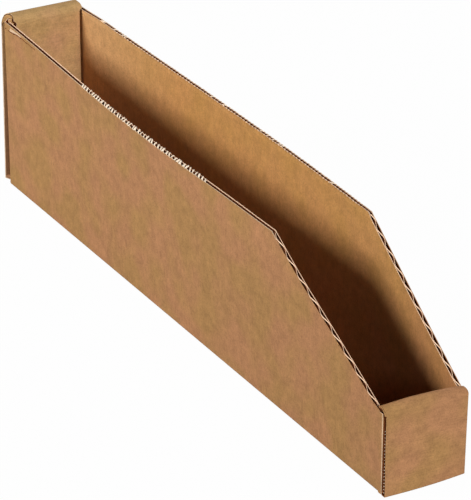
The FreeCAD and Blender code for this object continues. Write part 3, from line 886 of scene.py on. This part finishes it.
for flaps in (FRONT_FLAPS, BACK_FLAPS):
    for side in (LEFT, RIGHT):
        for paper, depth in LINERS:
            grid, flat = dust_flap(side, depth=depth, **flaps)
            # Wear and a painted highlight: the outer liner's front creases are painted pale.
            has_highlit_worn_crease = paper is outer_paper and flaps is FRONT_FLAPS
            paper.add(grid, LINER, flat, OUTWARD if paper is outer_paper else INWARD,
                      patch=(HIGHLIT_WORN_CREASE[side], WORN_AND_HIGHLIT) if has_highlit_worn_crease else None)
print("points along a flap:", grid.shape[1])

# %% [markdown]
# ## From the papers to meshes
# Each paper becomes one mesh object, with its finishes as material slots and its places on the
# flat sheet as a UV map. One object for each fold would leave seams between them. Faces are
# smooth across a fold and sharp at the cuts, which a limit on the angle between faces decides.

# %% Make the papers
SHARP_ANGLE = math.radians(40)


def make_sheet(paper):
    """The mesh object of a paper, in metres."""
    quads = np.concatenate(paper.quads)
    mesh = bpy.data.meshes.new(paper.name)
    mesh.from_pydata((np.concatenate(paper.points) * MM).tolist(), [], quads.tolist())
    mesh.polygons.foreach_set("material_index", np.concatenate(paper.finish))
    mesh.polygons.foreach_set("use_smooth", np.ones(len(quads), bool))
    grain = mesh.uv_layers.new(name="flat_sheet")
    grain.data.foreach_set("uv", (np.concatenate(paper.flat) * MM)[quads.ravel()].ravel())
    mesh.validate()
    mesh.set_sharp_from_angle(angle=SHARP_ANGLE)
    made = bpy.data.objects.new(paper.name, mesh)
    bpy.context.scene.collection.objects.link(made)
    print(f"{paper.name}: {2 * len(quads)} triangles")
    return made


outer_liner = make_sheet(outer_paper)
inner_liner = make_sheet(inner_paper)
medium = make_sheet(fluted_paper)
torn_scraps = make_sheet(torn_paper)

# %% [markdown]
# ## Mixing a finish
# A finish is a small graph of shader nodes. They could be joined by hand in the Shader Editor. In
# code, five helpers are enough here: one makes a material, and the others add a noise, stretch a
# range, mix two colours and add small bumps.

# %% Start a finish and give it noise
DULL_GLOSS = 0.08


def new_finish(name):
    """A new material with its nodes, links and shader."""
    material = bpy.data.materials.new(name)
    material.use_nodes = True
    tree = material.node_tree
    shader = tree.nodes["Principled BSDF"]
    shader.inputs["Specular IOR Level"].default_value = DULL_GLOSS
    return material, tree.nodes, tree.links, shader


def add_noise(nodes, links, vector, scale, detail=3.0, rough=0.5):
    """Noise from 0 to 1 at a place; the scale is its grains per metre."""
    noise = nodes.new("ShaderNodeTexNoise")
    noise.inputs["Scale"].default_value = scale
    noise.inputs["Detail"].default_value = detail
    noise.inputs["Roughness"].default_value = rough
    links.new(vector, noise.inputs["Vector"])
    return noise.outputs["Fac"]


def add_range(nodes, links, value, low_in, high_in, low_out=0.0, high_out=1.0):
    """A value stretched from one range to another, and kept inside it."""
    stretched = nodes.new("ShaderNodeMapRange")
    for name, number in (("From Min", low_in), ("From Max", high_in),
                         ("To Min", low_out), ("To Max", high_out)):
        stretched.inputs[name].default_value = number
    links.new(value, stretched.inputs["Value"])
    return stretched.outputs["Result"]


print("gloss of all papers:", DULL_GLOSS)


# %% Mix two colours and add bumps
def add_mix(nodes, links, share, one, two, kind="MIX"):
    """Two colours mixed by a share; a share or colour is a number or another node's output."""
    mix = nodes.new("ShaderNodeMix")
    mix.data_type = "RGBA"
    mix.blend_type = kind
    if hasattr(share, "is_linked"):
        links.new(share, mix.inputs["Factor"])
    else:
        mix.inputs["Factor"].default_value = share
    for socket, source in ((mix.inputs["A"], one), (mix.inputs["B"], two)):
        if isinstance(source, tuple):
            socket.default_value = (*source, 1.0)
        else:
            links.new(source, socket)
    return mix.outputs["Result"]


def add_bump(nodes, links, shader, height, strength, distance):
    """Small bumps on a finish, as high as a value says."""
    bump = nodes.new("ShaderNodeBump")
    bump.inputs["Strength"].default_value = strength
    bump.inputs["Distance"].default_value = distance
    links.new(height, bump.inputs["Height"])
    links.new(bump.outputs["Normal"], shader.inputs["Normal"])


HELPERS = (new_finish, add_noise, add_range, add_mix, add_bump)
print("helpers for a finish:", [helper.__name__ for helper in HELPERS])

# %% [markdown]
# ## Kraft paper
# Kraft paper is brown all through. Its colour comes in soft patches, because the pulp is never
# even, and its fibres lie mostly across the flutes and show as short fine streaks. The patches
# and the fine specks come from a noise in space. The streaks come from a noise on the flat sheet,
# stretched one way, so that they turn with the board at every fold. An image of paper would be
# quicker, but it would show its edges and repeat.
# Inside the bin the paper is painted paler towards the back wall, a painted light, and darker near
# the bottom, a painted shade, so there the colour also changes slowly with the place in the box.

# %% Streak the paper and paint light and shade inside the bin
STREAKS_ALONG, STREAKS_ACROSS = 90.0, 1300.0
PAINTED_LIGHT_START, PAINTED_LIGHT_STOP = 100.0 * MM, 210.0 * MM
PAINTED_LIGHT_KRAFT = (0.61, 0.348, 0.150)
PAINTED_SHADE_BELOW, UNSHADED_ABOVE = 40.0 * MM, 105.0 * MM
PAINTED_SHADE_TONE, UNSHADED_TONE = (0.77, 0.68, 0.78), (1.0, 1.0, 1.0)


def sheet_streaks(nodes, links):
    """Fine streaks on the flat sheet, long along the fibres and narrow across them."""
    place = nodes.new("ShaderNodeUVMap")
    place.uv_map = "flat_sheet"
    stretch = nodes.new("ShaderNodeMapping")
    stretch.inputs["Scale"].default_value = (STREAKS_ALONG, STREAKS_ACROSS, 1.0)
    links.new(place.outputs["UV"], stretch.inputs["Vector"])
    return add_noise(nodes, links, stretch.outputs["Vector"], scale=1.0, detail=4.0, rough=0.6)


def paint_light_and_shade_inside(nodes, links, space, colour):
    """A colour painted paler towards the back wall and darker near the bottom: painted light and
    shade.
    """
    axes = nodes.new("ShaderNodeSeparateXYZ")
    links.new(space, axes.inputs["Vector"])
    painted_light_share = add_range(nodes, links, axes.outputs["Y"], PAINTED_LIGHT_START, PAINTED_LIGHT_STOP)
    colour = add_mix(nodes, links, painted_light_share, colour, PAINTED_LIGHT_KRAFT)
    unshaded_share = add_range(nodes, links, axes.outputs["Z"], PAINTED_SHADE_BELOW, UNSHADED_ABOVE)
    tone = add_mix(nodes, links, unshaded_share, PAINTED_SHADE_TONE, UNSHADED_TONE)
    return add_mix(nodes, links, 1.0, colour, tone, "MULTIPLY")


print("the paper fades over", round((PAINTED_LIGHT_STOP - PAINTED_LIGHT_START) / MM), "mm")

# %% Mix the kraft papers
PATCHES, CLOUDS, SPECKS = 45.0, 150.0, 1100.0
PATCH_RANGE, CLOUD_RANGE, STREAK_RANGE = (0.35, 0.65), (0.3, 0.7), (0.3, 0.7)
SPECK_RANGE, SPECK_LIGHTS = (0.45, 0.7), (1.02, 0.84)
KRAFT_ROUGHNESS = 0.82
FIBRE_BUMP, FIBRE_HEIGHT = 0.16, 0.25 * MM


def kraft_paper(name, warm, green, coarse, has_painted_light_and_shade=False):
    """Brown paper between two tones, with clouds, streaks and specks, finer or coarser."""
    material, nodes, links, shader = new_finish(name)
    space = nodes.new("ShaderNodeTexCoord").outputs["Object"]
    patches = add_noise(nodes, links, space, PATCHES, detail=0.5)
    colour = add_mix(nodes, links, add_range(nodes, links, patches, *PATCH_RANGE), warm, green)
    # Inside the bin: painted light towards the back wall and painted shade near the bottom.
    if has_painted_light_and_shade:
        colour = paint_light_and_shade_inside(nodes, links, space, colour)
    clouds = add_noise(nodes, links, space, CLOUDS, detail=5.0, rough=0.75)
    streaks = sheet_streaks(nodes, links)
    specks = add_noise(nodes, links, space, SPECKS, detail=2.0)
    for noise, kept, lights in ((clouds, CLOUD_RANGE, (1 - coarse, 1 + coarse)),
                                (streaks, STREAK_RANGE, (1 - coarse / 2, 1 + coarse / 2)),
                                (specks, SPECK_RANGE, SPECK_LIGHTS)):
        factor = add_range(nodes, links, noise, *kept, *lights)
        colour = add_mix(nodes, links, 1.0, colour, factor, "MULTIPLY")
    links.new(colour, shader.inputs["Base Color"])
    shader.inputs["Roughness"].default_value = KRAFT_ROUGHNESS
    add_bump(nodes, links, shader, streaks, FIBRE_BUMP, FIBRE_HEIGHT)
    return material


kraft_outside = kraft_paper("kraft_outside", (0.470, 0.230, 0.107), (0.434, 0.235, 0.090),
                            coarse=0.17)
kraft_inside = kraft_paper("kraft_inside", (0.589, 0.299, 0.104), (0.556, 0.291, 0.091),
                           coarse=0.16, has_painted_light_and_shade=True)
# Painted light: a paler copy of the outside kraft for the inside of the back wall.
painted_panel_light_kraft = kraft_paper("painted_panel_light_kraft", (0.512, 0.284, 0.144), (0.473, 0.290, 0.121), coarse=0.17)
worn_and_highlit_kraft = kraft_paper("worn_and_highlit_kraft", (0.80, 0.57, 0.38), (0.68, 0.47, 0.30), coarse=0.1)
print("kraft finishes:", kraft_outside.name, kraft_inside.name, painted_panel_light_kraft.name, worn_and_highlit_kraft.name)

# %% [markdown]
# ## Cut edges and the insides of the flutes
# A cut edge is not brown but cream: the knife leaves loose fibre ends, which scatter more light
# than the pressed surface. The paper inside the flutes is the opposite. It is coarse and
# unbleached, and its colour is painted darker still, a painted shade for the little light that
# gets between the liners, so that it looks nearly black. Both need no streaks, so one plain recipe
# with grains of one size makes them all.

# %% Mix the finishes of the cuts and the flutes
GRAIN_RANGE = (0.35, 0.65)
GRAIN_HEIGHT = 0.2 * MM
LOOSE_ROUGHNESS = 0.95


def plain_paper(name, one, two, scale, bumps):
    """A rough paper between two tones, in grains of one size."""
    material, nodes, links, shader = new_finish(name)
    space = nodes.new("ShaderNodeTexCoord").outputs["Object"]
    grains = add_noise(nodes, links, space, scale, detail=3.0, rough=0.7)
    share = add_range(nodes, links, grains, *GRAIN_RANGE)
    links.new(add_mix(nodes, links, share, one, two), shader.inputs["Base Color"])
    shader.inputs["Roughness"].default_value = LOOSE_ROUGHNESS
    add_bump(nodes, links, shader, grains, bumps, GRAIN_HEIGHT)
    return material


cut_paper = plain_paper("cut_paper", (1.0, 0.71, 0.49), (0.86, 0.54, 0.35), scale=700.0, bumps=0.4)
torn_fibre = plain_paper("torn_fibre", (1.0, 0.87, 0.70), (0.92, 0.74, 0.56), scale=700.0, bumps=0.4)
# Painted shade: far darker than the medium's own colour, for the shade in flutes, cracks and
# hollows.
painted_flute_shade_paper = plain_paper("painted_flute_shade_paper", (0.170, 0.042, 0.011), (0.120, 0.029, 0.007), scale=500.0,
                          bumps=0.3)
PAPERS = ((outer_liner, kraft_outside), (inner_liner, kraft_inside), (medium, painted_flute_shade_paper),
          (torn_scraps, torn_fibre))
for piece, face in PAPERS:
    for finish in (face, cut_paper, painted_flute_shade_paper, worn_and_highlit_kraft, painted_panel_light_kraft):
        piece.data.materials.append(finish)
print("finishes on the outer liner:", [m.name for m in outer_liner.data.materials])

# %% [markdown]
# ## The papers and the CAD body
# The CAD model has the folded board as one body with one node. The papers don't move on their
# own, so all of them ride that body. The node itself is hidden: showing it with the papers would
# make their faces flicker through each other.

# %% Tie the papers to the CAD body
for piece, _ in PAPERS:
    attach(piece, "root")
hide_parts("bin_box")
print("the papers stand for the CAD node bin_box")

# %% [markdown]
# ## The floor
# The box stands on a white sweep. The floor is a real surface that takes the box's shadow. A
# brighter lamp would make it white but bleach the board too. So a share of plain white keeps it
# bright for the camera only, and no extra light falls on the board.

# %% Lay the white floor
FLOOR_SIZE = 6.0
FLOOR_DROP = 0.2 * MM
FLOOR_WHITE = 0.985
FLOOR_GREY = (0.4, 0.4, 0.4, 1.0)


def camera_white(nodes, links, share):
    """A share of plain white that only the camera, gloss and glass see."""
    rays = nodes.new("ShaderNodeLightPath")
    seen = rays.outputs["Is Camera Ray"]
    for ray in ("Is Glossy Ray", "Is Transmission Ray"):
        either = nodes.new("ShaderNodeMath")
        either.operation = "MAXIMUM"
        links.new(seen, either.inputs[0])
        links.new(rays.outputs[ray], either.inputs[1])
        seen = either.outputs["Value"]
    part = nodes.new("ShaderNodeMath")
    part.operation = "MULTIPLY"
    part.inputs[1].default_value = share
    links.new(seen, part.inputs[0])
    return part.outputs["Value"]


bpy.ops.mesh.primitive_plane_add(size=FLOOR_SIZE, location=(0, 0, -FLOOR_DROP))
floor = bpy.context.object
floor.name = "floor"
floor_finish = bpy.data.materials.new("white_floor")
floor_finish.use_nodes = True
nodes, links = floor_finish.node_tree.nodes, floor_finish.node_tree.links
nodes.remove(nodes["Principled BSDF"])
matt = nodes.new("ShaderNodeBsdfDiffuse")
matt.inputs["Color"].default_value = FLOOR_GREY
glow = nodes.new("ShaderNodeEmission")
blend = nodes.new("ShaderNodeMixShader")
links.new(camera_white(nodes, links, FLOOR_WHITE), blend.inputs["Fac"])
links.new(matt.outputs["BSDF"], blend.inputs[1])
links.new(glow.outputs["Emission"], blend.inputs[2])
links.new(blend.outputs["Shader"], nodes["Material Output"].inputs["Surface"])
floor.data.materials.append(floor_finish)
print("floor laid,", FLOOR_SIZE, "m wide")

# %% [markdown]
# ## World and light
# The world is white to the camera and only a faint light to the board, which leaves the deep
# inside of the bin dark. A lamp on the left lights the near side, a soft sun from the front
# reaches the front wall, the inside of the back wall and the far side, and a weak lamp behind on
# the right keeps the hidden sides from going black. One big lamp would be simpler, but it can't
# light the near side and the front wall as differently as they are.

# %% Surround the box with white
WORLD_LIGHT = 0.04
PLAIN_WHITE = (1.0, 1.0, 1.0, 1.0)

world = bpy.data.worlds.new("studio")
bpy.context.scene.world = world
world.use_nodes = True
nodes, links = world.node_tree.nodes, world.node_tree.links
sky = nodes["Background"]
sky.inputs["Strength"].default_value = WORLD_LIGHT
sky.inputs["Color"].default_value = PLAIN_WHITE
white = nodes.new("ShaderNodeBackground")
white.inputs["Strength"].default_value = 1.0
white.inputs["Color"].default_value = PLAIN_WHITE
swap = nodes.new("ShaderNodeMixShader")
links.new(camera_white(nodes, links, 1.0), swap.inputs["Fac"])
links.new(sky.outputs["Background"], swap.inputs[1])
links.new(white.outputs["Background"], swap.inputs[2])
links.new(swap.outputs["Shader"], nodes["World Output"].inputs["Surface"])
print("light from the world:", WORLD_LIGHT)

# %% Light the box
LAMP_AIM = Vector((0, 0, 0.05))
LAMP_SIZE = 0.6
SUN_ANGLE = 0.26
LAMPS = [("left_lamp", "AREA", (-1.69, 0.45, 1.05), 34.3),
         ("front_lamp", "SUN", (0.0, -1.83, 0.86), 2.58),
         ("back_lamp", "AREA", (1.73, 0.92, 0.47), 12.0)]

for name, kind, place, power in LAMPS:
    lamp = bpy.data.objects.new(name, bpy.data.lights.new(name, kind))
    if kind == "SUN":
        lamp.data.angle = SUN_ANGLE
    else:
        lamp.data.size = LAMP_SIZE
    lamp.data.energy = power
    lamp.location = place
    lamp.rotation_euler = (LAMP_AIM - lamp.location).to_track_quat("-Z", "Y").to_euler()
    bpy.context.scene.collection.objects.link(lamp)
bpy.context.scene.view_settings.view_transform = "Standard"
print("lamps:", [lamp[0] for lamp in LAMPS])
